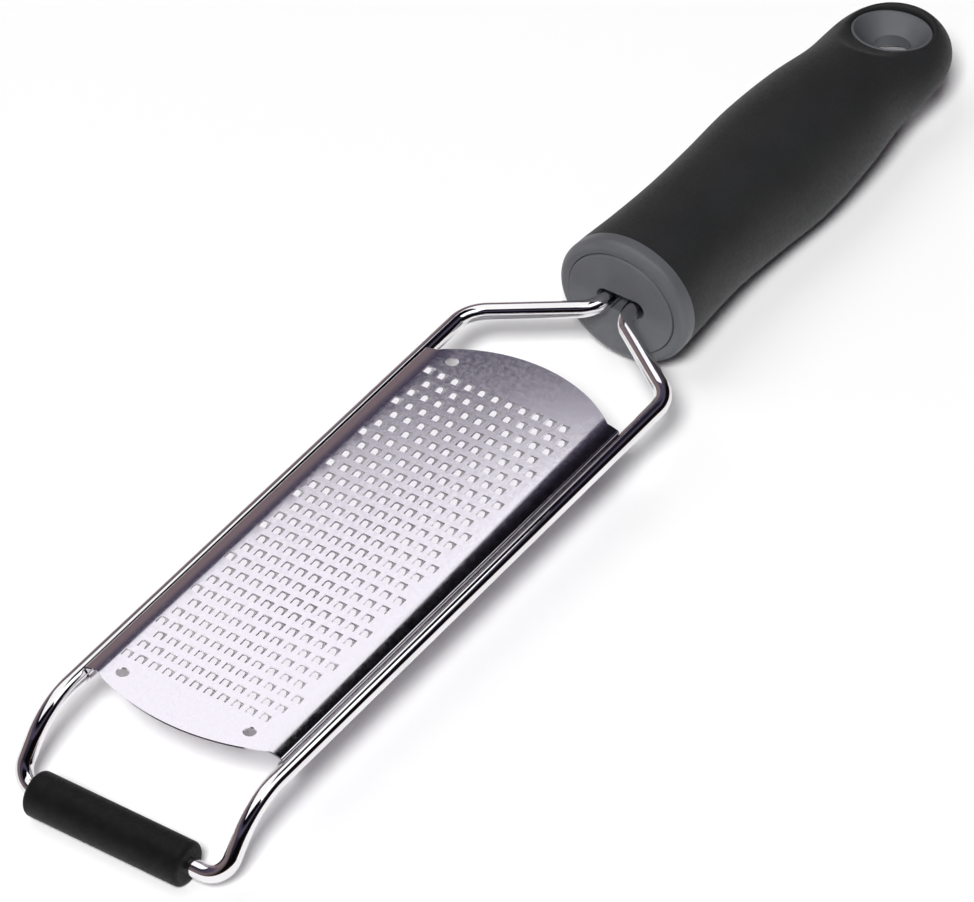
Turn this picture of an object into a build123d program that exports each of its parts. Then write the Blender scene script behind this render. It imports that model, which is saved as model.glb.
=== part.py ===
from build123d import *
import math
import os

os.makedirs("parts", exist_ok=True)

# Rasp zester: a fine rasp plate, its long edges hemmed round a bent wire frame.
# The two ends of the wire run into a soft-grip handle with a hanging eye, and
# the front bar of the frame carries a rubber foot.
#
# Sizes are in millimetres. +X runs from the foot to the tip of the handle, +Y to
# the left of someone who holds it, and +Z is up, out of the toothed side. The
# origin lies on the surface that the tool rests on, under the middle of its
# length and midway between the two rails.

# Wire frame
wire_diameter = 4.0
rail_spacing = 54.0         # from centre to centre of the two rails
rail_length = 156.0         # from the front corner to the rear corner
foot_reach = 11.7           # how far the foot bar stands in front of the rails
foot_drop = 13.5            # how far the foot bar lies below the rails
shoulder_reach = 16.9       # length over which the rails close up to the legs
leg_spacing = 7.0           # from centre to centre of the two legs
leg_run = 4.9               # from the legs' corner to the handle's face
tang_depth = 50.0           # how far the legs reach into the handle
rail_front_bend = 18.0      # bend radii, along the middle of the wire
foot_bend = 5.4
rail_rear_bend = 9.0
leg_bend = 8.0

# Rubber foot, a sleeve on the foot bar
foot_diameter = 10.4
foot_left_gap = 4.8         # from the rails' centres to the ends of the sleeve
foot_right_gap = 8.8
foot_chamfer = 1.2

# Rasp plate
sheet = 0.4                 # sheet thickness
hem_clearance = 0.03        # between the sheet and the wire that it hugs
nose_radius = 0.45          # fold between hem and shoulder, mid-sheet
shoulder_radius = 5.4       # roll between fold and flat, mid-sheet
hem_turn = 155              # degrees that the hem follows round the wire
hem_top = 50                # degrees above level where the hem leaves the wire
shoulder_slope = 30         # degrees at which the shoulder starts to rise
plate_front_gap = 11.8      # from the rails' front corners to the hems
plate_rear_gap = 17.7       # from the hems to the rails' rear corners
front_bulge = 5.2           # curved ends of the flat, beyond the hems
rear_bulge = 7.9
pilot_diameter = 3.0        # round holes in the corners of the flat
pilot_spacing = 33.2
pilot_shift = 0.9           # the pair lies this far to the left
pilot_front_inset = 2.4     # from the ends of the hems
pilot_rear_inset = 1.7

# Teeth, punched from below in staggered rows
window_width = 2.3          # opening in the sheet that frees the tooth
window_length = 2.35
slot_gap = 0.5              # beside the tooth, at its free edge
edge_gap = 0.8              # in front of that edge
tooth_rise = 0.32           # of the cutting edge above the flat
tooth_pitch = 3.6           # across the plate
row_pitch = 4.14            # along the plate
teeth_left_margin = 1.5     # from the field of teeth to the edges of the flat
teeth_right_margin = 3.2
teeth_front_margin = 6.6    # from the field of teeth to the ends of the hems
teeth_rear_margin = 5.65
stagger_shares = (0, 2 / 3, 1 / 3)      # of the pitch, row after row

# Handle
handle_length = 127.2       # from its face to its tip
handle_width = 33.8         # across the swell of the grip
handle_height = 32.6
collar_length = 4.4         # grey collar in front of the grip
collar_round = 2.0          # rounding of its front edge
grip_wall = 2.6             # soft cover over the core
bond_gap = 0.05             # between core and cover
slip_fit = 0.05             # between the wire and what it passes through

# Face plug, an oval insert that closes the core round the legs
plug_inset = 3.3            # from the outline of the face
plug_depth = 4.0
plug_proud = 0.5            # it stands out of the face by this much
plug_bevel = 0.45
leg_slot_width = 14.4
leg_slot_height = 4.7

# Hanging eye
eye_setback = 13.5          # from the tip of the handle to the eye's axis
eye_lip_radius = 10.2       # outside of the grey lip
eye_funnel_radius = 9.4     # inside of the lip
eye_throat_radius = 4.6
eye_throat_length = 3.0
eye_thickness = 12.8        # from lip to lip, along the axis
eye_slope = 9               # degrees by which each lip falls toward the tip

# Sections of the handle from face to eye: place along the length, half width,
# half height and droop, as shares of the handle's length, of half its width, of
# half its height and of the droop at the swell.
handle_section_shares = (
    (0.000, 1.018, 0.990, 0.10),
    (0.032, 1.009, 0.980, 0.13),
    (0.126, 0.955, 0.965, 0.28),
    (0.235, 0.915, 0.958, 0.40),
    (0.360, 0.943, 0.972, 0.70),
    (0.500, 1.000, 1.000, 1.00),
    (0.656, 0.960, 0.874, 1.00),
    (0.765, 0.873, 0.733, 1.02),
    (0.845, 0.899, 0.610, 1.02),
)
# The rounded end beyond the last section is half an ellipse in plan, and the
# front edge of the collar a quarter of a circle. These are the turns in degrees
# at which their sections are taken.
end_turns = (18, 35, 50, 63, 74, 82, 87)
front_turns = (0, 30, 60, 90)
# Round sections have many short sides, fewer where the soft cover hides them.
wire_sides = 24
oval_sides = 32
hidden_sides = 12
hidden_step = 2             # of the sections, every second one shapes the cavity

# Places worked out from the sizes
wire_radius = wire_diameter / 2
foot_radius = foot_diameter / 2
wire_height = foot_radius + foot_drop
rail_side = rail_spacing / 2
leg_side = leg_spacing / 2
overall_length = (foot_radius + foot_reach + rail_length + shoulder_reach
                  + leg_run + handle_length)
foot_front = -overall_length / 2
foot_x = foot_front + foot_radius
rail_front = foot_x + foot_reach
rail_rear = rail_front + rail_length
leg_corner = rail_rear + shoulder_reach
face_x = leg_corner + leg_run
tip_x = face_x + handle_length
collar_x = face_x + collar_length
tang_x = face_x + tang_depth
droop = wire_height - handle_height / 2     # the swell rests level with the foot


# Wire frame: one length of wire, bent to a frame that is closed by the handle.
left_route = [
    (tang_x, leg_side, wire_height),
    (leg_corner, leg_side, wire_height),
    (rail_rear, rail_side, wire_height),
    (rail_front, rail_side, wire_height),
    (foot_x, rail_side, foot_radius),
]
right_route = [(x, -y, z) for x, y, z in reversed(left_route)]
left_bends = [leg_bend, rail_rear_bend, rail_front_bend, foot_bend]

with BuildPart() as wire_frame:
    with BuildLine() as wire_route:
        FilletPolyline(*left_route, *right_route, radius=left_bends + left_bends[::-1])
    with BuildSketch(Plane((tang_x, leg_side, wire_height), x_dir=(0, 1, 0), z_dir=(-1, 0, 0))):
        RegularPolygon(wire_radius, wire_sides)
    sweep(path=wire_route.wires()[0])

wire_frame.part.label = "wire_frame"
export_step(wire_frame.part, "parts/wire_frame.step")


# Rubber foot: a thick sleeve, pushed up against the left bend of the foot bar.
foot_left = rail_side - foot_left_gap
foot_right = foot_right_gap - rail_side

with BuildPart() as foot_sleeve:
    with BuildSketch(Plane.XZ.offset(-foot_left)):
        with Locations((foot_x, foot_radius)):
            Circle(foot_radius)
    extrude(amount=foot_left - foot_right)
    ends = foot_sleeve.edges().filter_by(GeomType.CIRCLE)
    chamfer(ends, foot_chamfer)
    with BuildSketch(Plane.XZ.offset(-foot_left)):
        with Locations((foot_x, foot_radius)):
            Circle(wire_radius + slip_fit)
    extrude(amount=foot_left - foot_right, mode=Mode.SUBTRACT)

foot_sleeve.part.label = "foot_sleeve"
export_step(foot_sleeve.part, "parts/foot_sleeve.step")


# Rasp plate. Each long edge comes up the inner side of the rail, folds back on
# itself in a tight nose and rises over the shoulder to the flat. The radii here
# lie in the middle of the sheet, and hem and nose are one curve after another.
hem_radius = wire_radius + hem_clearance + sheet / 2
nose_reach = hem_radius + nose_radius
nose_y = rail_side - nose_reach * math.cos(math.radians(hem_top))
nose_z = wire_height + nose_reach * math.sin(math.radians(hem_top))
shoulder_turn = 90 - shoulder_slope
fold_y = nose_y + nose_radius * math.cos(math.radians(shoulder_turn))
fold_z = nose_z + nose_radius * math.sin(math.radians(shoulder_turn))
flat_side = fold_y - shoulder_radius * math.cos(math.radians(shoulder_turn))
shoulder_z = fold_z - shoulder_radius * math.sin(math.radians(shoulder_turn))
flat_z = shoulder_z + shoulder_radius
flat_top = flat_z + sheet / 2
flat_bottom = flat_z - sheet / 2

hem_front = rail_front + plate_front_gap
hem_rear = rail_rear - plate_rear_gap
plate_front = hem_front - front_bulge
plate_rear = hem_rear + rear_bulge

# Field of teeth: each row starts at the left edge of the flat, set in by its
# stagger, and the rows run from the handle's end toward the foot.
flat_width = 2 * flat_side
teeth_span = flat_width - teeth_left_margin - teeth_right_margin - window_width
teeth_per_row = int(teeth_span / tooth_pitch - max(stagger_shares)) + 1
rows_span = hem_rear - hem_front - teeth_front_margin - teeth_rear_margin - window_length
row_count = int(rows_span / row_pitch) + 1
tongue_length = window_length - edge_gap
root_side = window_width / 2
edge_side = root_side - slot_gap

tooth_places = []
for row in range(row_count):
    edge_x = hem_rear - teeth_rear_margin - row * row_pitch
    stagger = stagger_shares[row % len(stagger_shares)]
    for column in range(teeth_per_row):
        left_y = flat_side - teeth_left_margin - (column + stagger) * tooth_pitch
        tooth_places.append((edge_x - window_length, left_y - root_side))

# One tooth: a tongue of the sheet, bent up at its root on the foot's side, so
# that its free edge faces the handle and cuts on the pull. It is as wide as its
# window at the root and narrows to leave a slot on each side.
with BuildPart() as tooth:
    with BuildSketch(Plane.XZ):
        with BuildLine():
            Polyline(
                (0, flat_bottom),
                (tongue_length, flat_bottom + tooth_rise),
                (tongue_length, flat_top + tooth_rise),
                (0, flat_top),
                close=True,
            )
        make_face()
    extrude(amount=root_side, both=True)
    with BuildSketch(Plane.XY):
        Polygon(
            (0, root_side),
            (0, -root_side),
            (tongue_length, -edge_side),
            (tongue_length, edge_side),
            align=None,
        )
    extrude(amount=2 * wire_height, mode=Mode.INTERSECT)

with BuildPart() as rasp_plate:
    with BuildSketch(Plane.YZ.offset(plate_front)):
        with BuildLine():
            CenterArc((rail_side, wire_height), hem_radius, 180 - hem_top, hem_turn)
            CenterArc((nose_y, nose_z), nose_radius, -hem_top, hem_top + shoulder_turn)
            CenterArc((flat_side, shoulder_z), shoulder_radius, shoulder_turn, shoulder_slope)
            mirror(about=Plane.YZ)
            Line((-flat_side, flat_z), (flat_side, flat_z))
        trace(line_width=sheet)
    extrude(amount=plate_rear - plate_front)

    # Outline from above: square hems, and a flat that bulges at both ends.
    with BuildSketch(Plane.XY):
        with BuildLine():
            Polyline(
                (hem_front, flat_side),
                (hem_front, rail_spacing),
                (hem_rear, rail_spacing),
                (hem_rear, flat_side),
            )
            ThreePointArc((hem_rear, flat_side), (plate_rear, 0), (hem_rear, -flat_side))
            Polyline(
                (hem_rear, -flat_side),
                (hem_rear, -rail_spacing),
                (hem_front, -rail_spacing),
                (hem_front, -flat_side),
            )
            ThreePointArc((hem_front, -flat_side), (plate_front, 0), (hem_front, flat_side))
        make_face()
    extrude(amount=2 * wire_height, mode=Mode.INTERSECT)

    # Windows for the teeth, and the pilot holes: two at the front, one behind.
    with BuildSketch(Plane.XY.offset(flat_bottom - sheet)):
        with Locations(*tooth_places):
            Rectangle(window_length, window_width, align=(Align.MIN, Align.CENTER))
        pilot_left = pilot_shift + pilot_spacing / 2
        pilot_right = pilot_shift - pilot_spacing / 2
        pilot_front = hem_front + pilot_front_inset
        pilot_rear = hem_rear - pilot_rear_inset
        with Locations(
            (pilot_front, pilot_left),
            (pilot_front, pilot_right),
            (pilot_rear, pilot_left),
        ):
            Circle(pilot_diameter / 2)
    extrude(amount=3 * sheet, mode=Mode.SUBTRACT)

    with Locations(*[(x, y, 0) for x, y in tooth_places]):
        add(tooth.part)

rasp_plate.part.label = "rasp_plate"
export_step(rasp_plate.part, "parts/rasp_plate.step")


# Handle. Its form is a run of oval sections, from the face over the waist and
# the swell to the thin rounded end that holds the hanging eye.
def oval(half_width, half_height, sides):
    """Corners of an oval with this many sides, one of them on each axis."""
    corners = []
    for side in range(sides):
        angle = math.radians(360 * side / sides)
        corners.append((half_width * math.cos(angle), half_height * math.sin(angle)))
    return corners


def handle_sections(inset):
    """Places, half widths, half heights and centre heights, set in by inset."""
    sections = []
    for place, width, height, fall in handle_section_shares:
        sections.append((
            face_x + place * handle_length,
            width * handle_width / 2 - inset,
            height * handle_height / 2 - inset,
            wire_height - fall * droop,
        ))
    start_x, half_width, half_height, centre_z = sections[-1]
    end_length = tip_x - inset - start_x
    for turn in end_turns:
        angle = math.radians(turn)
        sections.append((
            start_x + end_length * math.sin(angle),
            half_width * math.cos(angle),
            half_height * math.cos(angle),
            centre_z,
        ))
    return sections


def outer_sections():
    """The handle's sections, with the first one rounded over to the face."""
    first, *others = handle_sections(0)
    x, half_width, half_height, z = first
    rounded = []
    for turn in front_turns:
        angle = math.radians(turn)
        back = collar_round * (1 - math.cos(angle))
        inset = collar_round * (1 - math.sin(angle))
        rounded.append((x + back, half_width - inset, half_height - inset, z))
    return rounded + others


def oval_plane(x, z):
    """Plane across the handle, looking along it, with its width along Y."""
    return Plane((x, 0, z), x_dir=(0, 1, 0), z_dir=(1, 0, 0))


with BuildPart() as handle_form:
    for x, half_width, half_height, z in outer_sections():
        with BuildSketch(oval_plane(x, z)):
            Polygon(*oval(half_width, half_height, oval_sides), align=None)
    loft(ruled=True)

with BuildPart() as cavity_form:
    for x, half_width, half_height, z in handle_sections(grip_wall)[::hidden_step]:
        with BuildSketch(oval_plane(x, z)):
            Polygon(*oval(half_width, half_height, hidden_sides), align=None)
    loft(ruled=True)

with BuildPart() as spine_form:
    for x, half_width, half_height, z in handle_sections(grip_wall + bond_gap)[::hidden_step]:
        with BuildSketch(oval_plane(x, z)):
            Polygon(*oval(half_width, half_height, hidden_sides), align=None)
    loft(ruled=True)

# The eye: a plain pin through the flattened end, cut off by two planes that
# close in toward the tip, with a funnel in each side.
eye_x = tip_x - eye_setback
eye_z = handle_sections(0)[-1][3]
eye_plane = Plane((eye_x, 0, eye_z))
lean = math.radians(eye_slope)
top_lip = Plane(
    (eye_x, 0, eye_z + eye_thickness / 2),
    x_dir=(math.cos(lean), 0, -math.sin(lean)),
    z_dir=(math.sin(lean), 0, math.cos(lean)),
)
bottom_lip = Plane(
    (eye_x, 0, eye_z - eye_thickness / 2),
    x_dir=(math.cos(lean), 0, math.sin(lean)),
    z_dir=(math.sin(lean), 0, -math.cos(lean)),
)

with BuildPart() as eye_form:
    with BuildSketch(eye_plane):
        Circle(eye_lip_radius)
    extrude(amount=handle_height, both=True)
    split(bisect_by=top_lip, keep=Keep.BOTTOM)
    split(bisect_by=bottom_lip, keep=Keep.BOTTOM)

with BuildPart() as eye_opening:
    with BuildSketch(eye_plane):
        Circle(eye_throat_radius)
    extrude(amount=eye_throat_length / 2, both=True)
    for lip, side in ((top_lip, 1), (bottom_lip, -1)):
        with BuildSketch(lip):
            Circle(eye_funnel_radius)
        with BuildSketch(eye_plane.offset(side * eye_throat_length / 2)):
            Circle(eye_throat_radius)
        loft(ruled=True)

# Core: grey collar and lip in view, and the spine under the soft cover, with
# one bore for each leg of the wire.
face_plane = oval_plane(face_x, wire_height)
collar_plane = oval_plane(collar_x, wire_height)
face_width, face_height, face_z = handle_sections(0)[0][1:]
plug_plane = oval_plane(face_x, face_z)
plug_width = face_width - plug_inset
plug_height = face_height - plug_inset

with BuildPart() as handle_core:
    add(handle_form.part)
    split(bisect_by=collar_plane, keep=Keep.BOTTOM)
    add(spine_form.part)
    split(bisect_by=face_plane, keep=Keep.TOP)
    with BuildSketch(eye_plane):
        Circle(eye_lip_radius)
    extrude(amount=handle_height, both=True, mode=Mode.SUBTRACT)
    add(eye_form.part)
    add(eye_opening.part, mode=Mode.SUBTRACT)
    with BuildSketch(plug_plane):
        Polygon(*oval(plug_width + slip_fit, plug_height + slip_fit, oval_sides), align=None)
    extrude(amount=plug_depth, mode=Mode.SUBTRACT)
    with BuildSketch(face_plane):
        with Locations((leg_side, 0), (-leg_side, 0)):
            Circle(wire_radius + slip_fit)
    extrude(amount=tang_depth + slip_fit, mode=Mode.SUBTRACT)

handle_core.part.label = "handle_core"
export_step(handle_core.part, "parts/handle_core.step")

# Face plug, with the slot that both legs pass through.
with BuildPart() as face_plug:
    for offset, inset in (
        (-plug_proud, plug_bevel),
        (-plug_proud + plug_bevel, 0),
        (plug_depth, 0),
    ):
        with BuildSketch(plug_plane.offset(offset)):
            Polygon(*oval(plug_width - inset, plug_height - inset, oval_sides), align=None)
    loft(ruled=True)
    with BuildSketch(face_plane.offset(-plug_proud)):
        SlotOverall(leg_slot_width, leg_slot_height)
    extrude(amount=plug_proud + plug_depth, mode=Mode.SUBTRACT)

face_plug.part.label = "face_plug"
export_step(face_plug.part, "parts/face_plug.step")

# Grip: the soft cover, open at the collar and round the lips of the eye.
with BuildPart() as handle_grip:
    add(handle_form.part)
    split(bisect_by=collar_plane, keep=Keep.TOP)
    add(cavity_form.part, mode=Mode.SUBTRACT)
    with BuildSketch(eye_plane):
        Circle(eye_lip_radius + bond_gap)
    extrude(amount=handle_height, both=True, mode=Mode.SUBTRACT)

handle_grip.part.label = "handle_grip"
export_step(handle_grip.part, "parts/handle_grip.step")
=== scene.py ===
# %% [markdown]
# # A rasp zester
#
# This lesson dresses a kitchen zester: a toothed steel plate on a frame of
# polished wire, a rubber foot, and a soft black handle with a grey core. The
# measured model is loaded first, as a frame that never moves. Every piece below
# is then made at its real place in metres, so nothing has to be fitted later.

import math

import bmesh
import bpy
import numpy as np
from mathutils import Matrix, Vector
from mathutils.geometry import delaunay_2d_cdt


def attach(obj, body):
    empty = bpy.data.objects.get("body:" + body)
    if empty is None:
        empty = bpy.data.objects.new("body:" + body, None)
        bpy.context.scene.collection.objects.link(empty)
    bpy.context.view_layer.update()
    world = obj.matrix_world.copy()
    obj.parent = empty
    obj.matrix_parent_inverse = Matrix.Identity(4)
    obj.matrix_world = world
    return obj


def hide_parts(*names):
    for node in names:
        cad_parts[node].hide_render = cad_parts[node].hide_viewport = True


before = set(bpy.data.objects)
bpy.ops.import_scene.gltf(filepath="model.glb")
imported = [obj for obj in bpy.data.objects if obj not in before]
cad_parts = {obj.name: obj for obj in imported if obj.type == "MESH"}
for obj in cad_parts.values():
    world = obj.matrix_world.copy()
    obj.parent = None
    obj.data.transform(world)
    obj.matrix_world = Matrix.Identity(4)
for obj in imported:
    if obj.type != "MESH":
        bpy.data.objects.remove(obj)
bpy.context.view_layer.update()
MM = 0.001
print("pieces in the measured model:", sorted(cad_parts))

# %% [markdown]
# ## Sizes
#
# The sizes repeat the measured model's, in millimetres, because a maker thinks in
# them. They become metres only when a mesh is written. X runs from the foot to
# the tip of the handle, Y to the left as the camera sees it, and Z up.

# %% Sizes of the wire frame and the foot
WIRE_DIAMETER = 4.0
WIRE_HEIGHT = 18.7
RAIL_SIDE = 27.0
LEG_SIDE = 3.5
FOOT_X = -155.75
RAIL_FRONT = -144.05
RAIL_REAR = 11.95
LEG_CORNER = 28.85
TANG_END = 83.75
FOOT_RADIUS = 5.2
FOOT_LEFT = 22.2
FOOT_RIGHT = -18.2
FOOT_ROUND = 1.2
BENDS = (8.0, 9.0, 18.0, 5.4)  # radii, from the handle to the foot
SLIP = 0.05  # play between pieces that fit into each other
print("the rails are", 2 * RAIL_SIDE, "mm apart")

# %% Sizes of the rasp plate and its teeth
SHEET = 0.4
HEM_FRONT = -132.25
HEM_REAR = -5.75
PLATE_FRONT = -137.45
PLATE_REAR = 2.15
HEM_PLAY = 0.03
HEM_RADIUS = WIRE_DIAMETER / 2 + HEM_PLAY + SHEET / 2
HEM_TOP = 50  # degrees round the wire where the hem leaves it
HEM_TURN = 155  # degrees of wire that the hem covers
NOSE_RADIUS = 0.45
SHOULDER_RADIUS = 14.4
SHOULDER_TURN = 72
FLAT_SIDE = 22.80
PILOTS = ((-129.85, 17.5), (-129.85, -15.7), (-7.45, 17.5))
PILOT_RADIUS = 1.5
ROWS = 28
TEETH_PER_ROW = 11
ROW_PITCH = 4.14
TOOTH_PITCH = 3.6
STAGGER = (0, 2 / 3, 1 / 3)  # of the pitch, row after row
WINDOW_WIDTH = 2.3
WINDOW_LENGTH = 2.35
SLOT_GAP = 0.44
EDGE_GAP = 0.80
TOOTH_RISE = 0.34
FIRST_EDGE = -11.40
FIELD_LEFT = 21.30
print("the plate is", round(PLATE_REAR - PLATE_FRONT, 1), "mm long")

# %% Sizes of the handle
FACE_X = 33.75
TIP_X = 160.95
COLLAR_X = 38.15
COLLAR_ROUND = 2.0
HANDLE_LENGTH = TIP_X - FACE_X
HALF_WIDTH = 16.9
HALF_HEIGHT = 16.3
DROOP = 2.4
# Each oval: its place along the handle, its half width, its half height and its
# droop below the wire, all as shares of the four sizes above.
SECTIONS = (
    (0.000, 1.018, 0.990, 0.10),
    (0.032, 1.009, 0.980, 0.13),
    (0.126, 0.955, 0.965, 0.28),
    (0.235, 0.915, 0.958, 0.40),
    (0.360, 0.943, 0.972, 0.70),
    (0.500, 1.000, 1.000, 1.00),
    (0.656, 0.960, 0.874, 1.00),
    (0.765, 0.873, 0.733, 1.02),
    (0.845, 0.899, 0.610, 1.02),
)
PLUG_INSET = 3.3
PLUG_PROUD = 0.5
PLUG_DEPTH = 4.0
LEG_SLOT = (12.6, 4.6)
TIP_FULL = (2.4, 2.7)  # 2 would end the handle in a plain ellipse
EYE_X = 147.45
EYE_Z = 16.252
EYE_LIP = 9.6
EYE_FUNNEL = 9.0
EYE_THROAT = 4.6
THROAT_LENGTH = 3.0
EYE_THICKNESS = 12.8
EYE_SLOPE = math.tan(math.radians(9))
print("the tool is", round(TIP_X - FOOT_X + FOOT_RADIUS, 1), "mm long")

# %% [markdown]
# ## The camera
#
# A product shot like this one is taken from far off with a long lens, so the
# rails stay nearly parallel. The camera stands in front of the foot, to the
# right, and looks down on the teeth. Its turn is given by a compass angle, a
# height angle and a slight roll, which together make three axes of a matrix.

# %% Camera
CAMERA_PLACE = Vector((-1.05006, -0.72673, 1.10222))
CAMERA_AZIMUTH = math.radians(-54.811)
CAMERA_ELEVATION = math.radians(40.819)
CAMERA_ROLL = math.radians(-0.993)
LENS, SENSOR = 279.31, 36.0

camera = bpy.data.objects.new("camera", bpy.data.cameras.new("camera"))
bpy.context.scene.collection.objects.link(camera)
camera.data.lens = LENS
camera.data.sensor_width = SENSOR
camera.data.clip_end = 50.0
back = Vector((
    math.sin(CAMERA_AZIMUTH) * math.cos(CAMERA_ELEVATION),
    -math.cos(CAMERA_AZIMUTH) * math.cos(CAMERA_ELEVATION),
    math.sin(CAMERA_ELEVATION),
))
level = Vector((math.cos(CAMERA_AZIMUTH), math.sin(CAMERA_AZIMUTH), 0))
upright = back.cross(level)
right = level * math.cos(CAMERA_ROLL) + upright * math.sin(CAMERA_ROLL)
up = upright * math.cos(CAMERA_ROLL) - level * math.sin(CAMERA_ROLL)
axes = Matrix((right, up, back)).transposed().to_4x4()
camera.matrix_world = Matrix.Translation(CAMERA_PLACE) @ axes
bpy.context.scene.camera = camera
bpy.context.scene.view_settings.view_transform = "Standard"
print("camera stands", round(CAMERA_PLACE.length, 2), "m from the origin")

# %% [markdown]
# ## The table
#
# The zester lies on a plain white table. A wide flat plane is enough: it fills
# the background, takes the soft shadow, and shows again on the underside of the
# polished wire.

# %% Floor
def new_material(name):
    """An empty node material, with its tree and the output node."""
    material = bpy.data.materials.new(name)
    material.use_nodes = True
    tree = material.node_tree
    tree.nodes.clear()
    return material, tree, tree.nodes.new("ShaderNodeOutputMaterial")


TABLE_WHITE = (0.99, 0.99, 0.99, 1)
FLOOR_HALF = 6.0

floor_material, tree, output = new_material("table_white")
table = tree.nodes.new("ShaderNodeBsdfDiffuse")
table.inputs["Color"].default_value = TABLE_WHITE
tree.links.new(table.outputs["BSDF"], output.inputs["Surface"])
floor_mesh = bpy.data.meshes.new("table")
floor_mesh.from_pydata(
    [(-FLOOR_HALF, -FLOOR_HALF, 0), (FLOOR_HALF, -FLOOR_HALF, 0),
     (FLOOR_HALF, FLOOR_HALF, 0), (-FLOOR_HALF, FLOOR_HALF, 0)],
    [], [(0, 1, 2, 3)],
)
floor_mesh.materials.append(floor_material)
floor = bpy.data.objects.new("table", floor_mesh)
bpy.context.scene.collection.objects.link(floor)
print("the table is", 2 * FLOOR_HALF, "m wide")

# %% [markdown]
# ## The room
#
# Polished steel has no colour of its own and shows what stands around it. One
# flat grey would make the plate look like plastic, so the world is a room with
# soft bands of tone by height: brownish low on the left, where the plate's left
# shoulder looks, dark on the right, and a lilac band in both, which the far end
# of the plate mirrors. It is dim, because the lamps do the lighting.

# %% Room
world = bpy.data.worlds.new("room")
bpy.context.scene.world = world
world.use_nodes = True
tree = world.node_tree
room = tree.nodes["Background"]
direction = tree.nodes.new("ShaderNodeTexCoord")
parts = tree.nodes.new("ShaderNodeSeparateXYZ")
tree.links.new(direction.outputs["Generated"], parts.inputs["Vector"])


def wall_tones(tones):
    """Colours of the room by height, from the horizon at 0 to straight up at 1."""
    ramp = tree.nodes.new("ShaderNodeValToRGB")
    stops = ramp.color_ramp.elements
    while len(stops) < len(tones):
        stops.new(0.5)
    for stop, (height, tone) in zip(stops, tones):
        stop.position = height
        stop.color = (*tone, 1)
    tree.links.new(parts.outputs["Z"], ramp.inputs["Fac"])
    return ramp.outputs["Color"]


LILAC_BAND = (0.072, 0.062, 0.100)
LOW_BROWN = (0.25, 0.185, 0.18)
HIGH_BROWN = (0.22, 0.17, 0.18)
DARK_BROWN = (0.060, 0.022, 0.018)
DARK = (0.003, 0.003, 0.003)
DARK_TOP = (0.003, 0.003, 0.004)
LEFT_WALL_FROM, LEFT_WALL_TO = 0.10, 0.55

left_wall = wall_tones((
    (0.00, LOW_BROWN), (0.44, HIGH_BROWN),
    (0.58, LILAC_BAND), (0.68, LILAC_BAND), (0.78, DARK_TOP),
))
right_wall = wall_tones((
    (0.00, DARK_BROWN), (0.22, DARK), (0.52, DARK_TOP),
    (0.60, LILAC_BAND), (0.68, LILAC_BAND), (0.78, DARK_TOP),
))
leftness = tree.nodes.new("ShaderNodeMapRange")
leftness.inputs["From Min"].default_value = LEFT_WALL_FROM
leftness.inputs["From Max"].default_value = LEFT_WALL_TO
tree.links.new(parts.outputs["Y"], leftness.inputs["Value"])
blend = tree.nodes.new("ShaderNodeMix")
blend.data_type = "RGBA"
tree.links.new(leftness.outputs["Result"], blend.inputs["Factor"])
tree.links.new(right_wall, blend.inputs["A"])
tree.links.new(left_wall, blend.inputs["B"])
tree.links.new(blend.outputs["Result"], room.inputs["Color"])
print("the room has", len(tree.nodes), "nodes")

# %% [markdown]
# ## The lamps
#
# One large soft panel hangs over the steel, and its edges matter more than its
# strength: the near half of the plate mirrors the panel and turns white, and the
# far half looks past its far edge and turns dark. The raised teeth lean back, so
# they mirror the panel all over the plate. Steel wants such a panel and matt
# rubber doesn't, so the panel is seen in mirrors only, and two other lamps light
# the table and the rubber.

# %% Panels that the steel mirrors
def panel(name, place, target, width, depth, radiance):
    """A soft rectangular lamp at a place, turned to face a target."""
    lamp = bpy.data.lights.new(name, "AREA")
    lamp.shape = "RECTANGLE"
    lamp.size = width
    lamp.size_y = depth
    lamp.energy = radiance * math.pi * width * depth
    held = bpy.data.objects.new(name, lamp)
    bpy.context.scene.collection.objects.link(held)
    aim = Vector(target) - Vector(place)
    held.matrix_world = (
        Matrix.Translation(Vector(place)) @ aim.to_track_quat("-Z", "Y").to_matrix().to_4x4()
    )
    return held


# The panel lies level over the zester, turned by 45 degrees. Its edges are given
# in metres from the origin, ahead, roughly as the camera looks, and to the right.
PANEL_HEIGHT = 0.80
FAR_EDGE, NEAR_EDGE = 0.872, -0.35
RIGHT_EDGE, LEFT_EDGE = 0.194, -0.60
PANEL_RADIANCE = 1.15
mirror_panel = panel("mirror_panel", (0, 0, 0), (0, 0, -1),
                     RIGHT_EDGE - LEFT_EDGE, FAR_EDGE - NEAR_EDGE, PANEL_RADIANCE)
ahead, across = (FAR_EDGE + NEAR_EDGE) / 2, (RIGHT_EDGE + LEFT_EDGE) / 2
panel_x, panel_y = (ahead + across) / math.sqrt(2), (ahead - across) / math.sqrt(2)
mirror_panel.matrix_world = (
    Matrix.Translation((panel_x, panel_y, PANEL_HEIGHT))
    @ Matrix.Rotation(math.radians(-45), 4, "Z")
)
mirror_panel.visible_diffuse = False

# A strip on the right draws the white line along the wire.
STRIP_X, STRIP_Y, STRIP_HEIGHT = 0.14, -0.36, 0.62
STRIP_WIDTH, STRIP_DEPTH, STRIP_RADIANCE = 0.60, 0.42, 1.6
wire_strip = panel("wire_strip", (STRIP_X, STRIP_Y, STRIP_HEIGHT), (STRIP_X, STRIP_Y, 0),
                   STRIP_WIDTH, STRIP_DEPTH, STRIP_RADIANCE)
wire_strip.visible_diffuse = False
print("the mirror panel is", round(FAR_EDGE - NEAR_EDGE, 2), "m deep")

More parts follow.
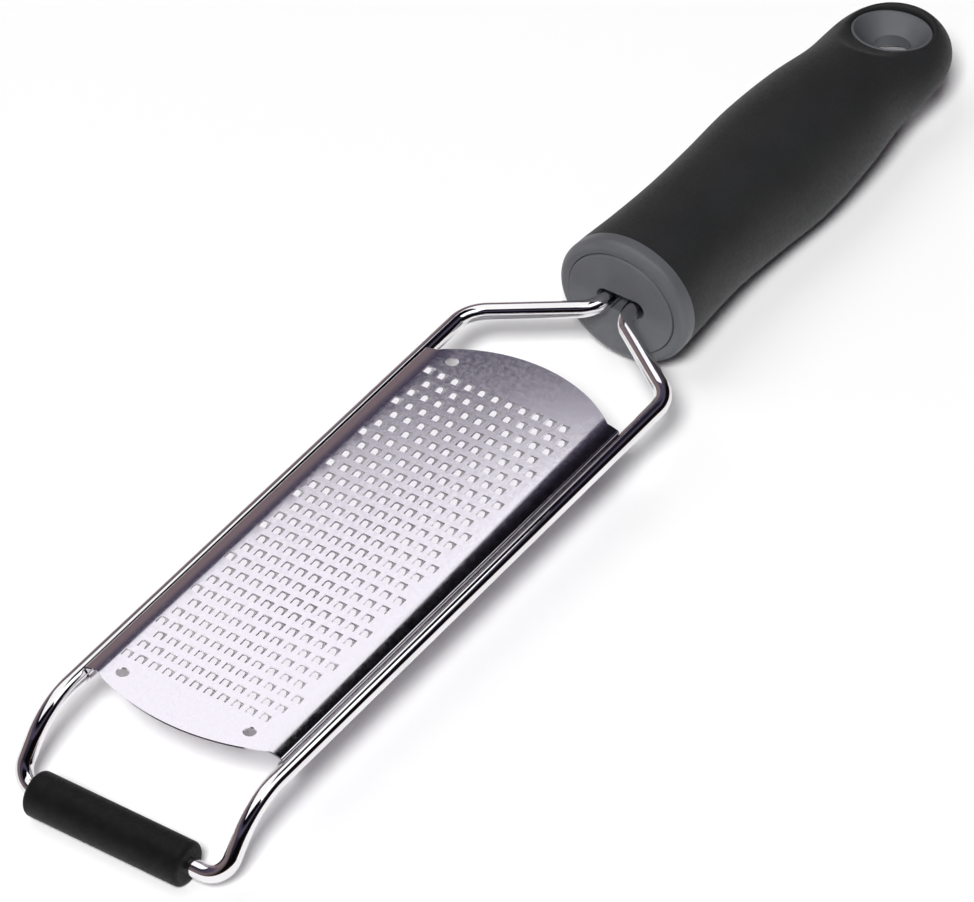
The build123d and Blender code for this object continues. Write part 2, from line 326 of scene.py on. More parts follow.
# %% Lamps for the table and the rubber
# The key lamp stands behind the camera and a little to its left, so that shadows
# stay close beside the things that cast them. A weak soft lamp above the left side
# lifts the tops of the rounded parts. Both are kept out of the mirror.
KEY_PLACE, KEY_SIZE, KEY_RADIANCE = (-4.92, -2.40, 6.08), 1.80, 70.0
TOP_PLACE, TOP_SIZE, TOP_RADIANCE = (-0.64, 1.68, 4.00), 3.20, 1.5
key = panel("key_lamp", KEY_PLACE, (0, 0, 0), KEY_SIZE, KEY_SIZE, KEY_RADIANCE)
key.visible_glossy = False
top = panel("top_lamp", TOP_PLACE, (0, 0, 0), TOP_SIZE, TOP_SIZE, TOP_RADIANCE)
top.visible_glossy = False

# %% [markdown]
# ## Finishes
#
# Each finish starts from the Principled shader, with the numbers that are the
# same all over set on its own sockets. It then gets the small unevenness that
# the real surface has: a faint cloudiness in the drawn wire, grain in the rolled
# sheet, and the spark-eroded texture of moulded rubber and plastic. All five do
# this with three fields of noise, for the tone, the gloss and the relief, so one
# helper builds them and each finish only gives its own sizes.

# %% Helpers for the finishes
FIELD_LOW, FIELD_HIGH = 0.3, 0.7  # the part of the noise that is used


def noise(tree, grain):
    """Noise in the object's own space, from its cells per metre and its detail."""
    place = tree.nodes.new("ShaderNodeTexCoord")
    field = tree.nodes.new("ShaderNodeTexNoise")
    field.inputs["Scale"].default_value = grain[0]
    field.inputs["Detail"].default_value = grain[1]
    tree.links.new(place.outputs["Object"], field.inputs["Vector"])
    return field.outputs["Fac"]


def spread(tree, source, low, high):
    """Turns a field of noise into the range from low to high."""
    node = tree.nodes.new("ShaderNodeMapRange")
    node.inputs["From Min"].default_value = FIELD_LOW
    node.inputs["From Max"].default_value = FIELD_HIGH
    node.inputs["To Min"].default_value = low
    node.inputs["To Max"].default_value = high
    tree.links.new(source, node.inputs["Value"])
    return node.outputs["Result"]


def tint(tree, source, dark, light):
    """Turns a field of noise into a colour between two tones."""
    node = tree.nodes.new("ShaderNodeValToRGB")
    stops = node.color_ramp.elements
    stops[0].position, stops[0].color = FIELD_LOW, (*dark, 1)
    stops[1].position, stops[1].color = FIELD_HIGH, (*light, 1)
    tree.links.new(source, node.inputs["Fac"])
    return node.outputs["Color"]


def relief(tree, source, depth):
    """A bump of the given depth in metres."""
    node = tree.nodes.new("ShaderNodeBump")
    node.inputs["Strength"].default_value = 1.0
    node.inputs["Distance"].default_value = depth
    tree.links.new(source, node.inputs["Height"])
    return node.outputs["Normal"]


def make_finish(name, tones, tone_grain, roughness, roughness_grain,
                depth, depth_grain, **constants):
    """A material from two tones, a range of roughness, a relief and plain constants."""
    material, tree, output = new_material(name)
    node = tree.nodes.new("ShaderNodeBsdfPrincipled")
    for socket, value in constants.items():
        node.inputs[socket].default_value = value
    tree.links.new(tint(tree, noise(tree, tone_grain), *tones), node.inputs["Base Color"])
    tree.links.new(spread(tree, noise(tree, roughness_grain), *roughness),
                   node.inputs["Roughness"])
    tree.links.new(relief(tree, noise(tree, depth_grain), depth), node.inputs["Normal"])
    tree.links.new(node.outputs["BSDF"], output.inputs["Surface"])
    print(name, "has", len(tree.nodes), "nodes")
    return material


# %% Polished wire
wire_finish = make_finish(
    "polished_wire", Metallic=1.0,
    tones=((0.78, 0.77, 0.78), (0.86, 0.85, 0.86)), tone_grain=(60.0, 2.0),
    roughness=(0.03, 0.07), roughness_grain=(300.0, 3.0),
    depth=0.000004, depth_grain=(900.0, 2.0),
)

# %% Rolled sheet
SHEET_GRAIN = (5200.0, 2.0)
sheet_finish = make_finish(
    "satin_sheet", Metallic=1.0,
    tones=((0.70, 0.67, 0.73), (0.84, 0.82, 0.86)), tone_grain=SHEET_GRAIN,
    roughness=(0.07, 0.125), roughness_grain=(900.0, 3.0),
    depth=0.000003, depth_grain=SHEET_GRAIN,
)

# %% Black rubber of the foot
rubber_finish = make_finish(
    "black_rubber", Metallic=0.0, IOR=1.3,
    tones=((0.003, 0.003, 0.003), (0.006, 0.006, 0.006)), tone_grain=(400.0, 4.0),
    roughness=(0.50, 0.66), roughness_grain=(1500.0, 3.0),
    depth=0.00002, depth_grain=(2500.0, 3.0),
)

# %% Soft black cover of the grip
grip_finish = make_finish(
    "soft_black", Metallic=0.0, IOR=1.42,
    tones=((0.0110, 0.0115, 0.0120), (0.0155, 0.0160, 0.0168)), tone_grain=(90.0, 4.0),
    roughness=(0.52, 0.64), roughness_grain=(1200.0, 3.0),
    depth=0.000025, depth_grain=(2200.0, 4.0),
)

# %% Grey plastic of the core
grey_finish = make_finish(
    "grey_plastic", Metallic=0.0, IOR=1.5,
    tones=((0.084, 0.087, 0.095), (0.100, 0.104, 0.113)), tone_grain=(120.0, 4.0),
    roughness=(0.38, 0.50), roughness_grain=(900.0, 3.0),
    depth=0.000012, depth_grain=(1800.0, 3.0),
)

# %% [markdown]
# ## Small tools for meshes
#
# Most pieces here are rings of points joined to their neighbours: a wire is a
# ring carried along a path, a sleeve is a ring turned about an axis, a handle is
# a run of ovals. One helper joins rings, and another writes the mesh, smooths
# its rounded parts and keeps its corners crisp.

# %% Mesh helpers
SAME_PLACE = 1e-7  # metres within which two points become one


def circle(radius, count):
    """Points of a full circle in a plane, as a list of pairs."""
    angles = [2 * math.pi * k / count for k in range(count)]
    return [(radius * math.cos(a), radius * math.sin(a)) for a in angles]


def ring_faces(count, rings, closed=False):
    """Quads between neighbouring rings of count points each."""
    faces = []
    for r in range(rings if closed else rings - 1):
        a, b = r * count, (r + 1) % rings * count
        for i in range(count):
            j = (i + 1) % count
            faces.append((a + i, a + j, b + j, b + i))
    return faces


def make_piece(name, points, faces, finish, node, crease=30):
    """Writes a mesh given in millimetres and puts it on the measured model."""
    mesh = bpy.data.meshes.new(name)
    mesh.from_pydata([tuple(MM * c for c in p) for p in points], [], faces)
    mesh.validate()
    shape = bmesh.new()
    shape.from_mesh(mesh)
    bmesh.ops.remove_doubles(shape, verts=shape.verts, dist=SAME_PLACE)
    shape.to_mesh(mesh)
    shape.free()
    mesh.materials.append(finish)
    mesh.shade_smooth()
    mesh.set_sharp_from_angle(angle=math.radians(crease))
    piece = bpy.data.objects.new(name, mesh)
    bpy.context.scene.collection.objects.link(piece)
    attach(piece, "root")
    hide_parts(node)
    print(name, "has", len(mesh.polygons), "faces")
    return piece


# %% [markdown]
# ## The wire frame
#
# The real frame is one length of stainless wire, bent in a former and pushed
# into the handle by both ends. A curve with a round bevel would do, but its
# bends would take Blender's handles instead of the former's radii. So the route
# is a list of corners, each rounded by a true arc, and a ring of points is
# carried along it without twisting.

# %% Route of the wire
ARC_STEP = math.radians(4)


def rounded_route(corners, radii):
    """Points along straight runs joined by arcs of the given radii."""
    corners = [Vector(c) for c in corners]
    route = [corners[0]]
    for before, corner, after, radius in zip(corners, corners[1:], corners[2:], radii):
        arrive = (corner - before).normalized()
        leave = (after - corner).normalized()
        turn = arrive.angle(leave)
        start = corner - arrive * radius * math.tan(turn / 2)
        centre = start + (leave - arrive * arrive.dot(leave)).normalized() * radius
        axis = arrive.cross(leave).normalized()
        steps = max(2, math.ceil(turn / ARC_STEP))
        for k in range(steps + 1):
            spoke = (start - centre).copy()
            spoke.rotate(Matrix.Rotation(turn * k / steps, 3, axis))
            route.append(centre + spoke)
    route.append(corners[-1])
    return route


left_corners = [
    (TANG_END, LEG_SIDE, WIRE_HEIGHT),
    (LEG_CORNER, LEG_SIDE, WIRE_HEIGHT),
    (RAIL_REAR, RAIL_SIDE, WIRE_HEIGHT),
    (RAIL_FRONT, RAIL_SIDE, WIRE_HEIGHT),
    (FOOT_X, RAIL_SIDE, FOOT_RADIUS),
]
right_corners = [(x, -y, z) for x, y, z in reversed(left_corners)]
wire_route = rounded_route(left_corners + right_corners, BENDS + BENDS[::-1])
print("wire length", round(sum((b - a).length for a, b in zip(wire_route, wire_route[1:]))), "mm")

# %% Sweep the wire
WIRE_SIDES = 48
points = []
normal = Vector((0, 0, 1))
for k, place in enumerate(wire_route):
    ahead = wire_route[min(k + 1, len(wire_route) - 1)] - wire_route[max(k - 1, 0)]
    along = ahead.normalized()
    normal = (normal - along * normal.dot(along)).normalized()
    side = along.cross(normal)
    points += [place + normal * a + side * b for a, b in circle(WIRE_DIAMETER / 2, WIRE_SIDES)]
faces = ring_faces(WIRE_SIDES, len(wire_route))
faces.append(tuple(range(WIRE_SIDES))[::-1])
last = len(points) - WIRE_SIDES
faces.append(tuple(range(last, len(points))))
make_piece("bent_wire", points, faces, wire_finish, "wire_frame")

# %% [markdown]
# ## The rubber foot
#
# A thick rubber sleeve on the front bar keeps the tool from sliding. It is a
# turned shape, so its outline is drawn once, round its bore and its softened
# ends, and turned about the bar.

# %% Foot sleeve
def arc(centre, radius, start, end, steps):
    """Points of an arc in a plane, with angles in degrees."""
    return [
        (centre[0] + radius * math.cos(math.radians(start + (end - start) * k / steps)),
         centre[1] + radius * math.sin(math.radians(start + (end - start) * k / steps)))
        for k in range(steps + 1)
    ]


FOOT_SIDES = 96
FOOT_STEPS = 8
bore = WIRE_DIAMETER / 2 + SLIP
round_at = FOOT_RADIUS - FOOT_ROUND
outline = [(FOOT_LEFT, bore)]
outline += arc((FOOT_LEFT - FOOT_ROUND, round_at), FOOT_ROUND, 0, 90, FOOT_STEPS)
outline += arc((FOOT_RIGHT + FOOT_ROUND, round_at), FOOT_ROUND, 90, 180, FOOT_STEPS)
outline += [(FOOT_RIGHT, bore)]
points = [
    (FOOT_X + b, y, FOOT_RADIUS + a)
    for y, radius in outline for a, b in circle(radius, FOOT_SIDES)
]
make_piece("rubber_foot", points, ring_faces(FOOT_SIDES, len(outline), closed=True),
           rubber_finish, "foot_sleeve", crease=40)

# %% [markdown]
# ## The rasp plate
#
# The plate starts as a flat blank. Its teeth are etched or punched as small
# arch-shaped slots that free three sides of a tongue, and the tongue is then
# pushed up so that its end cuts. The long edges are rolled over the rails: up
# the inner side of the wire, back in a tight nose, and over a soft shoulder to
# the flat. The blank is filled by a Delaunay triangulation, which copes with
# hundreds of windows at once, and the rolled edges are a profile drawn out along
# the plate.

# %% Windows for the teeth
WINDOW_ROUND = 0.22
CORNER_STEPS = 5
tooth_places = [
    (FIRST_EDGE - row * ROW_PITCH - WINDOW_LENGTH,
     FIELD_LEFT - (column + STAGGER[row % len(STAGGER)]) * TOOTH_PITCH - WINDOW_WIDTH / 2)
    for row in range(ROWS) for column in range(TEETH_PER_ROW)
]


def window(x, y):
    """Outline of one window: square at the tooth's root, round at its far end."""
    half = WINDOW_WIDTH / 2
    far = x + WINDOW_LENGTH - WINDOW_ROUND
    inner = half - WINDOW_ROUND
    return ([(x, y - half)] + arc((far, y - inner), WINDOW_ROUND, -90, 0, CORNER_STEPS)
            + arc((far, y + inner), WINDOW_ROUND, 0, 90, CORNER_STEPS) + [(x, y + half)])


PILOT_SIDES = 40
openings = [window(x, y) for x, y in tooth_places]
openings += [[(x + a, y + b) for a, b in circle(PILOT_RADIUS, PILOT_SIDES)] for x, y in PILOTS]
print("openings in the plate:", len(openings))

# %% Profile of the rolled edge
def polar(centre, reach, degrees):
    """A point at a reach and an angle from a centre."""
    return (centre[0] + reach * math.cos(math.radians(degrees)),
            centre[1] + reach * math.sin(math.radians(degrees)))


rail = (RAIL_SIDE, WIRE_HEIGHT)
nose = polar(rail, HEM_RADIUS + NOSE_RADIUS, 180 - HEM_TOP)
fold = polar(nose, NOSE_RADIUS, SHOULDER_TURN)
shoulder = polar(fold, SHOULDER_RADIUS, SHOULDER_TURN + 180)
LEVEL_SIDE = shoulder[0]
FLAT_Z = shoulder[1] + SHOULDER_RADIUS
half_sheet = SHEET / 2
seam_turn = math.degrees(math.acos((FLAT_SIDE - LEVEL_SIDE) / SHOULDER_RADIUS))
HEM_STEPS, NOSE_STEPS, SHOULDER_STEPS = 26, 14, 12


def edge_line(outward):
    """One skin of the rolled edge, from under the wire to the flat."""
    leave = 180 - HEM_TOP
    return (
        arc(rail, HEM_RADIUS - outward, leave + HEM_TURN, leave, HEM_STEPS)
        + arc(nose, NOSE_RADIUS + outward, -HEM_TOP, SHOULDER_TURN, NOSE_STEPS)[1:]
        + arc(shoulder, SHOULDER_RADIUS + outward, SHOULDER_TURN, seam_turn, SHOULDER_STEPS)[1:]
    )


def drop(y):
    """How far the shoulder has fallen below the level middle of the plate."""
    past = max(0.0, abs(y) - LEVEL_SIDE)
    return SHOULDER_RADIUS - math.sqrt(SHOULDER_RADIUS ** 2 - past ** 2)


top_line = edge_line(half_sheet)
under_line = edge_line(-half_sheet)
print("flat is", round(2 * FLAT_SIDE, 1), "mm wide at height", round(FLAT_Z, 2))
print("the shoulders start", round(LEVEL_SIDE, 2), "mm from the middle")

# %% Fill the blank
BULGE_STEPS = 40


def bulge(x_end, x_mid):
    """Curved end of the flat, through its corners and its middle."""
    rise = abs(x_mid - x_end)
    radius = (FLAT_SIDE ** 2 + rise ** 2) / (2 * rise)
    sign = 1 if x_mid > x_end else -1
    sweep = math.asin(FLAT_SIDE / radius)
    return [
        (x_mid - sign * radius * (1 - math.cos(sweep * (2 * k / BULGE_STEPS - 1))),
         sign * radius * math.sin(sweep * (2 * k / BULGE_STEPS - 1)))
        for k in range(BULGE_STEPS + 1)
    ]


blank = bulge(HEM_REAR, PLATE_REAR) + bulge(HEM_FRONT, PLATE_FRONT)
loops = [blank] + openings
flat_points, flat_edges, start = [], [], 0
for loop in loops:
    flat_points += [Vector(p) for p in loop]
    flat_edges += [(start + k, start + (k + 1) % len(loop)) for k in range(len(loop))]
    start += len(loop)
# Lines along the shoulders, so that the triangles follow their curve. None runs
# along the left foot of the shoulder, because the teeth stand across it.
CREASES = (21.4, 21.9, 22.35, -LEVEL_SIDE, -21.4, -21.9, -22.35)
CREASE_MARGIN = 0.1
for y in CREASES:
    flat_points += [Vector((HEM_FRONT + CREASE_MARGIN, y)), Vector((HEM_REAR - CREASE_MARGIN, y))]
    flat_edges.append((start, start + 1))
    start += 2
CLOSE = 1e-6  # millimetres within which the filling joins two points
filled = delaunay_2d_cdt(flat_points, flat_edges, [], 1, CLOSE)
cells = np.array([[tuple(filled[0][i]) for i in face] for face in filled[2]])
middles = cells.mean(axis=1)


def inside(loop, spots):
    """True for each spot that lies inside a closed loop."""
    loop = np.array(loop)
    hit = np.zeros(len(spots), bool)
    for (x1, y1), (x2, y2) in zip(loop, np.roll(loop, -1, axis=0)):
        crosses = (y1 > spots[:, 1]) != (y2 > spots[:, 1])
        reach = x1 + (spots[:, 1] - y1) * (x2 - x1) / (y2 - y1 if y2 != y1 else 1)
        hit ^= crosses & (spots[:, 0] < reach)
    return hit


kept = np.ones(len(middles), bool)
for loop in openings:
    xs, ys = [p[0] for p in loop], [p[1] for p in loop]
    near = ((middles[:, 0] > min(xs)) & (middles[:, 0] < max(xs))
            & (middles[:, 1] > min(ys)) & (middles[:, 1] < max(ys)))
    spots = np.where(near)[0]
    kept[spots[inside(loop, middles[spots])]] = False
print("triangles in the blank:", int(kept.sum()))

# %% Raise the plate from the blank
points, faces = [], []
for upward in (True, False):
    base = len(points)
    for p in filled[0]:
        lean = math.asin(max(0.0, abs(p[1]) - LEVEL_SIDE) / SHOULDER_RADIUS)
        skin = half_sheet if upward else -half_sheet
        shift = skin * math.sin(lean) * (1 if p[1] > 0 else -1)
        points.append((p[0], p[1] + shift, FLAT_Z - drop(p[1]) + skin * math.cos(lean)))
    for face, keep in zip(filled[2], kept):
        if keep:
            faces.append(tuple(base + i for i in (face if upward else face[::-1])))

# Walls join the two skins along every edge, apart from where the hems go on.
SEAM_NEAR = 1e-4
count = len(filled[0])
lookup = {(round(p[0], 4), round(p[1], 4)): i for i, p in enumerate(filled[0])}
for loop in loops:
    ids = [lookup[(round(p[0], 4), round(p[1], 4))] for p in loop]
    for a, b in zip(ids, ids[1:] + ids[:1]):
        hem_seam = (abs(abs(filled[0][a][1]) - FLAT_SIDE) < SEAM_NEAR
                    and abs(abs(filled[0][b][1]) - FLAT_SIDE) < SEAM_NEAR and loop is blank)
        if not hem_seam:
            wall = (a, b, count + b, count + a)
            faces.append(wall if loop is not blank else wall[::-1])
print("faces in the flat:", len(faces))

# %% Roll the hems
for side in (1, -1):
    base = len(points)
    for x in (HEM_FRONT, HEM_REAR):
        points += [(x, side * y, z) for y, z in top_line]
        points += [(x, side * y, z) for y, z in under_line]
    n = len(top_line)
    far = 2 * n
    quads = []
    for k in range(n - 1):
        quads.append((k, k + 1, far + k + 1, far + k))
        quads.append((n + k + 1, n + k, far + n + k, far + n + k + 1))
        quads.append((k + 1, k, n + k, n + k + 1))
        quads.append((far + k, far + k + 1, far + n + k + 1, far + n + k))
    quads.append((0, far, far + n, n))
    for quad in quads:
        face = tuple(base + i for i in quad)
        faces.append(face if side > 0 else face[::-1])
print("faces with both hems:", len(faces))

# %% Push the teeth up
TONGUE_HALF = WINDOW_WIDTH / 2 - SLOT_GAP
TONGUE_LENGTH = WINDOW_LENGTH - EDGE_GAP
TONGUE_ROUND = 0.62
LIFT_CURVE = 1.2  # 1 would lift the tongue in a straight slope
straight = TONGUE_LENGTH - TONGUE_ROUND
stations = [(s * straight / 4, TONGUE_HALF) for s in range(5)]
stations += [
    (straight + TONGUE_ROUND * math.sin(a), TONGUE_HALF - TONGUE_ROUND * (1 - math.cos(a)))
    for a in (0.4, 0.8, 1.15, math.pi / 2)
]
for x, y in tooth_places:
    base = len(points)
    for reach, half in stations:
        rise = TOOTH_RISE * (reach / TONGUE_LENGTH) ** LIFT_CURVE
        for across, lift in ((-half, half_sheet), (half, half_sheet),
                             (half, -half_sheet), (-half, -half_sheet)):
            points.append((x + reach, y + across, FLAT_Z + rise + lift))
    for k in range(len(stations) - 1):
        for i in range(4):
            j = (i + 1) % 4
            a, b = base + 4 * k, base + 4 * k + 4
            faces.append((a + i, b + i, b + j, a + j))
    tip = base + 4 * (len(stations) - 1)
    faces.append((tip, tip + 3, tip + 2, tip + 1))
make_piece("toothed_plate", points, faces, sheet_finish, "rasp_plate")
print("teeth:", len(tooth_places))

# %% [markdown]
# ## The handle's form
#
# The handle is a run of ovals: a round front, a waist, a swell for the palm and
# a thin rounded end for the eye. Between the measured ovals a smooth curve gives
# as many more as the mesh needs. The soft cover and the grey core use the same
# curve, so they meet without a gap.

# %% Ovals along the handle
section_x = np.array([FACE_X + s[0] * HANDLE_LENGTH for s in SECTIONS])
section_width = np.array([s[1] * HALF_WIDTH for s in SECTIONS])
section_height = np.array([s[2] * HALF_HEIGHT for s in SECTIONS])
section_z = np.array([WIRE_HEIGHT - s[3] * DROOP for s in SECTIONS])
END_X = section_x[-1]
END_LENGTH = TIP_X - END_X
END_NARROWING = -0.11  # slope of the height where the rounded end begins
SWELL_X = 97.0


def smooth_through(xs, ys, x, end_slope=0.0):
    """Value at x of a smooth curve through the given points."""
    slopes = np.gradient(ys, xs)
    slopes[-1] = end_slope
    k = int(np.clip(np.searchsorted(xs, x) - 1, 0, len(xs) - 2))
    run = xs[k + 1] - xs[k]
    t = (x - xs[k]) / run
    return ((1 + 2 * t) * (1 - t) ** 2 * ys[k] + t * (1 - t) ** 2 * run * slopes[k]
            + t * t * (3 - 2 * t) * ys[k + 1] + t * t * (t - 1) * run * slopes[k + 1])


def oval_at(x, inset=0.0):
    """Half width, half height and middle height of the handle at x."""
    if x <= END_X:
        width = smooth_through(section_x, section_width, x)
        height = smooth_through(section_x, section_height, x, END_NARROWING)
        return width - inset, height - inset, smooth_through(section_x, section_z, x)
    past = min(1.0, (x - END_X) / (END_LENGTH - inset))
    return ((section_width[-1] - inset) * (1 - past ** TIP_FULL[0]) ** (1 / TIP_FULL[0]),
            (section_height[-1] - inset) * (1 - past ** TIP_FULL[1]) ** (1 / TIP_FULL[1]),
            section_z[-1])


def oval_ring(x, inset, count, sizes=None):
    """A ring of points round the handle at x."""
    half_width, half_height, z = sizes or oval_at(x, inset)
    return [(x, half_width * a, z + half_height * b) for a, b in circle(1, count)]


print("grip is", [round(2 * float(v), 1) for v in oval_at(SWELL_X)[:2]], "mm across its swell")

# %% [markdown]
# ## The soft cover
#
# The black cover is moulded over the core. It is open at the front, where the
# grey collar shows, and round the hanging eye, where its edge rolls down to the
# grey lip. The roll is made by lowering the points near the eye before the eye
# is cut, which gives a soft edge without a bevel.

# %% Shape the cover
COVER_SIDES = 240
ROLL = 1.3  # width of the rolled edge
ROLL_DROP = 0.8 * ROLL
DISH_REACH = 10.0
DISH_BLEND = 0.8
DISH_RISE = 0.5  # of the cover's edge above the grey lip
DISH_TILT = 0.55
DISH_CURVE = 0.05
EYE_HOLE = EYE_LIP + SLIP


def rings_along(length, straight_rings, round_rings, first, last):
    """Places of the rings: even to the last oval, then closer towards the tip."""
    places = list(np.linspace(COLLAR_X, END_X, straight_rings))
    turns = np.radians(np.linspace(first, last, round_rings))
    return places + [END_X + length * math.sin(turn) for turn in turns]


def rolled(point):
    """Dishes the cover towards the eye and rolls its edge in, above and below."""
    x, y, z = point
    reach = math.hypot(x - EYE_X, y)
    past = reach - EYE_HOLE
    if past > DISH_REACH:
        return point
    height = abs(z - EYE_Z)
    lip = EYE_THICKNESS / 2 - EYE_SLOPE * (x - EYE_X)
    backward = (x - EYE_X) / max(reach, 0.1)
    dish = lip + DISH_RISE + DISH_TILT * (1 + backward) + DISH_CURVE * max(0.0, past) ** 2
    share = min(1.0, max(0.0, 0.5 + 0.5 * (dish - height) / DISH_BLEND))
    height = dish + (height - dish) * share - DISH_BLEND * share * (1 - share)
    into = min(1.0, max(0.0, (ROLL - past) / ROLL))
    height -= ROLL_DROP * (1 - math.sqrt(1 - into * into))
    return (x, y, EYE_Z + math.copysign(height, z - EYE_Z))


cover_x = rings_along(END_LENGTH, 190, 76, 1.2, 88.5)
points = []
for x in cover_x:
    points += [rolled(p) for p in oval_ring(x, 0, COVER_SIDES)]
faces = ring_faces(COVER_SIDES, len(cover_x))
points.append((TIP_X, 0, section_z[-1]))
last = (len(cover_x) - 1) * COVER_SIDES
faces += [(last + k, last + (k + 1) % COVER_SIDES, len(points) - 1) for k in range(COVER_SIDES)]

# The cavity for the core, seen only where the cover ends.
WALL = 3.6
cavity_x = rings_along(END_LENGTH - WALL, 40, 14, 8, 88)
base = len(points)
for x in cavity_x:
    points += oval_ring(x, WALL, COVER_SIDES)
faces += [tuple(base + i for i in face[::-1]) for face in ring_faces(COVER_SIDES, len(cavity_x))]
points.append((cavity_x[-1], 0, section_z[-1]))
last = base + (len(cavity_x) - 1) * COVER_SIDES
faces += [(last + (k + 1) % COVER_SIDES, last + k, len(points) - 1) for k in range(COVER_SIDES)]
faces += [
    (k, base + k, base + (k + 1) % COVER_SIDES, (k + 1) % COVER_SIDES) for k in range(COVER_SIDES)
]
cover_piece = make_piece("soft_cover", points, faces, grip_finish, "handle_grip")

# %% Cut the eye
DRUM_SIDES = 128
DRUM_LOW, DRUM_HIGH = -5, 45


def drum(x, radius):
    """A plain closed cylinder, used only to cut."""
    points = [(x + a, b, z) for z in (DRUM_LOW, DRUM_HIGH) for a, b in circle(radius, DRUM_SIDES)]
    faces = ring_faces(DRUM_SIDES, 2)
    faces += [tuple(range(DRUM_SIDES))[::-1], tuple(range(DRUM_SIDES, 2 * DRUM_SIDES))]
    mesh = bpy.data.meshes.new("eye_cutter")
    mesh.from_pydata([tuple(MM * c for c in p) for p in points], [], faces)
    cutter = bpy.data.objects.new("eye_cutter", mesh)
    bpy.context.scene.collection.objects.link(cutter)
    return cutter


def cut_away(piece, cutter):
    """Takes the cutter out of the piece for good, and removes the cutter."""
    step = piece.modifiers.new("cut", "BOOLEAN")
    step.operation = "DIFFERENCE"
    step.solver = "EXACT"
    step.object = cutter
    bpy.context.view_layer.update()
    result = piece.evaluated_get(bpy.context.evaluated_depsgraph_get())
    shape = bpy.data.meshes.new_from_object(result)
    piece.modifiers.clear()
    piece.data = shape
    piece.data.shade_smooth()
    piece.data.set_sharp_from_angle(angle=math.radians(35))
    bpy.data.objects.remove(cutter)


cut_away(cover_piece, drum(EYE_X, EYE_HOLE))
print("soft cover after the eye:", len(cover_piece.data.polygons), "faces")

# %% [markdown]
# ## The grey core
#
# The core shows in two places: as a collar in front of the cover, with a softly
# rounded front edge and an oval recess for the face plug, and as a funnel-shaped
# lining of the eye. Between them it is hidden, as a spine inside the cover.

# %% Collar and spine
CORE_SIDES = 192
RECESS_EDGE = 0.25  # bevel at the mouth of the plug's recess
SEAM_BACK, SEAM_INSET = 0.15, 0.12  # bevel where the collar meets the cover
EYE_MARGIN = 4  # between the hidden spine's end and the eye
ROUND_STEPS, SPINE_RINGS = 12, 30
width, height, middle = oval_at(FACE_X)
plug_width, plug_height = width - PLUG_INSET, height - PLUG_INSET


def inset_ring(x, inset):
    """A ring at x, set in from the outline of the handle there."""
    return oval_ring(x, inset, CORE_SIDES)


def plug_ring(x, grow):
    """A ring of the oval plug or of its recess."""
    return oval_ring(x, 0, CORE_SIDES, (plug_width + grow, plug_height + grow, middle))


rings = [
    plug_ring(FACE_X + PLUG_DEPTH, SLIP),
    plug_ring(FACE_X + RECESS_EDGE, SLIP),
    plug_ring(FACE_X, SLIP + RECESS_EDGE),
]
for turn in np.linspace(0, 90, ROUND_STEPS):
    angle = math.radians(turn)
    rings.append(inset_ring(FACE_X + COLLAR_ROUND * (1 - math.cos(angle)),
                            COLLAR_ROUND * (1 - math.sin(angle))))
rings.append(inset_ring(COLLAR_X - SEAM_BACK, 0.0))
rings.append(inset_ring(COLLAR_X, SEAM_INSET))
rings.append(inset_ring(COLLAR_X, WALL + SLIP))
for x in np.linspace(COLLAR_X + 1, EYE_X - EYE_LIP - EYE_MARGIN, SPINE_RINGS):
    rings.append(inset_ring(x, WALL + SLIP))
points = [p for ring in rings for p in ring]
faces = ring_faces(CORE_SIDES, len(rings))
faces.append(tuple(range(CORE_SIDES))[::-1])
faces.append(tuple(range(len(points) - CORE_SIDES, len(points))))
faces = [face[::-1] for face in faces]
make_piece("core_collar", points, faces, grey_finish, "handle_core",
           crease=35)

# %% Lining of the eye
LIP_ROUND = 0.35
CREST_INSET = 0.1
EYE_SIDES = 192
FUNNEL_STEPS = 12


def lining_line():
    """Outline of the lining's upper half: reach from the axis, depth below the lip."""
    lip = arc((EYE_LIP - LIP_ROUND, -LIP_ROUND), LIP_ROUND, 0, 90, 6)
    crest = arc((EYE_FUNNEL + CREST_INSET, -LIP_ROUND), LIP_ROUND, 90, 150, 5)
    return lip + crest


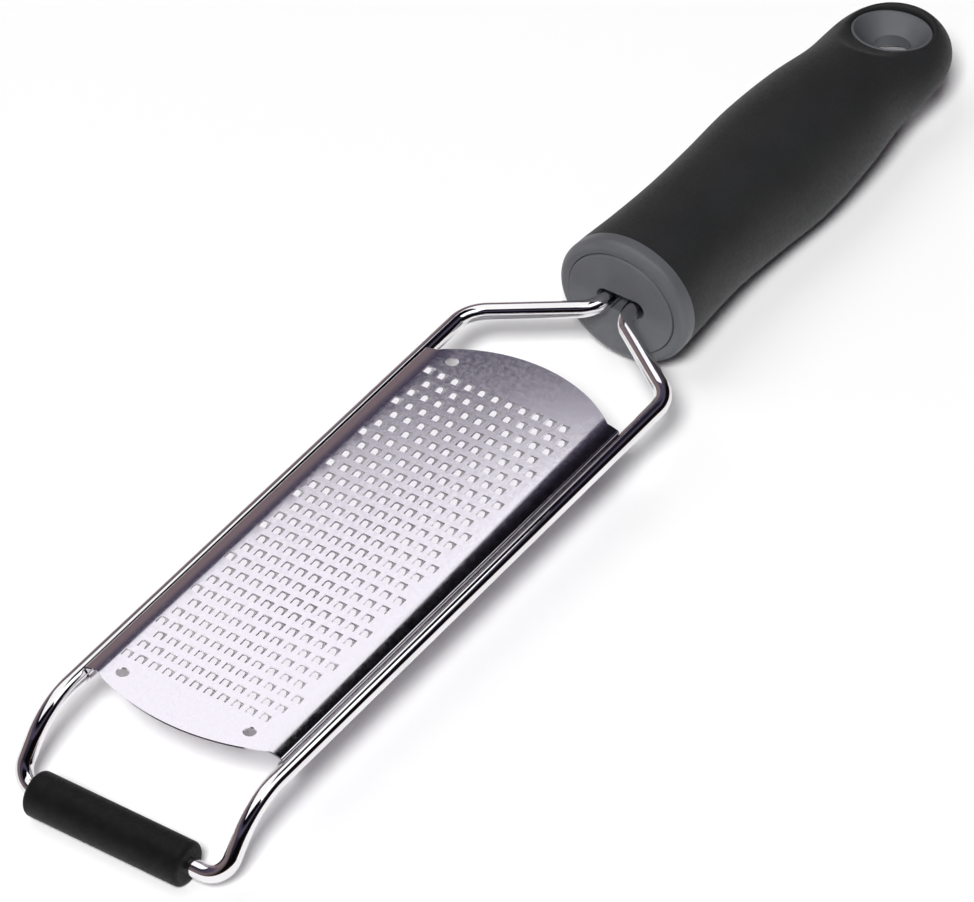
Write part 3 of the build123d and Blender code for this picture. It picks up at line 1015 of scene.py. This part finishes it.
half_thick = EYE_THICKNESS / 2
throat_half = THROAT_LENGTH / 2
rings = []
for side in (1, -1):
    upper = []
    for reach, depth in lining_line():
        upper.append([
            (EYE_X + reach * math.cos(a), reach * math.sin(a),
             EYE_Z + side * (half_thick + depth - EYE_SLOPE * reach * math.cos(a)))
            for a in np.linspace(0, 2 * math.pi, EYE_SIDES, endpoint=False)
        ])
    start = lining_line()[-1]
    for t in np.linspace(0.08, 1.0, FUNNEL_STEPS):
        reach = start[0] + (EYE_THROAT - start[0]) * t
        ring = []
        for a in np.linspace(0, 2 * math.pi, EYE_SIDES, endpoint=False):
            rim = half_thick + start[1] - EYE_SLOPE * start[0] * math.cos(a)
            depth = rim + (throat_half - rim) * t
            ring.append((EYE_X + reach * math.cos(a), reach * math.sin(a), EYE_Z + side * depth))
        upper.append(ring)
    rings += upper if side > 0 else upper[::-1]
points = [p for ring in rings for p in ring]
faces = ring_faces(EYE_SIDES, len(rings), closed=True)
make_piece("eye_lining", points, faces, grey_finish, "handle_core",
           crease=35)

# %% [markdown]
# ## The face plug
#
# An oval insert closes the front of the core round the two legs of the wire. Its
# slot is a little wider than the pair of wires, so a dark gap shows beside them.

# %% Plug
def slot_ring(x, grow):
    """A ring of the legs' slot, with its points matched to the oval's."""
    half_long, half_short = LEG_SLOT[0] / 2 + grow, LEG_SLOT[1] / 2 + grow
    ring = []
    for k in range(CORE_SIDES):
        a = 2 * math.pi * k / CORE_SIDES
        run = half_long - half_short
        direction = np.array([math.cos(a), math.sin(a)])
        if abs(direction[1]) * run > abs(direction[0]) * half_short:
            reach = half_short / abs(direction[1])
        else:
            b = run * abs(direction[0])
            reach = b + math.sqrt(max(0.0, b * b - run * run + half_short * half_short))
        ring.append((x, reach * direction[0], WIRE_HEIGHT + reach * direction[1]))
    return ring


PLUG_ROUND = 0.45
PLUG_STEPS = 8
SLOT_EDGE = 0.15
front, rear = FACE_X - PLUG_PROUD, FACE_X + PLUG_DEPTH
rings = [plug_ring(rear, 0)]
for turn in np.linspace(0, 90, PLUG_STEPS):
    angle = math.radians(turn)
    rings.append(plug_ring(front + PLUG_ROUND * (1 - math.sin(angle)),
                           -PLUG_ROUND * (1 - math.cos(angle))))
rings += [slot_ring(front, SLOT_EDGE), slot_ring(front + SLOT_EDGE, 0), slot_ring(rear, 0)]
points = [p for ring in rings for p in ring]
faces = ring_faces(CORE_SIDES, len(rings), closed=True)
make_piece("leg_plug", points, faces, grey_finish, "face_plug", crease=35)
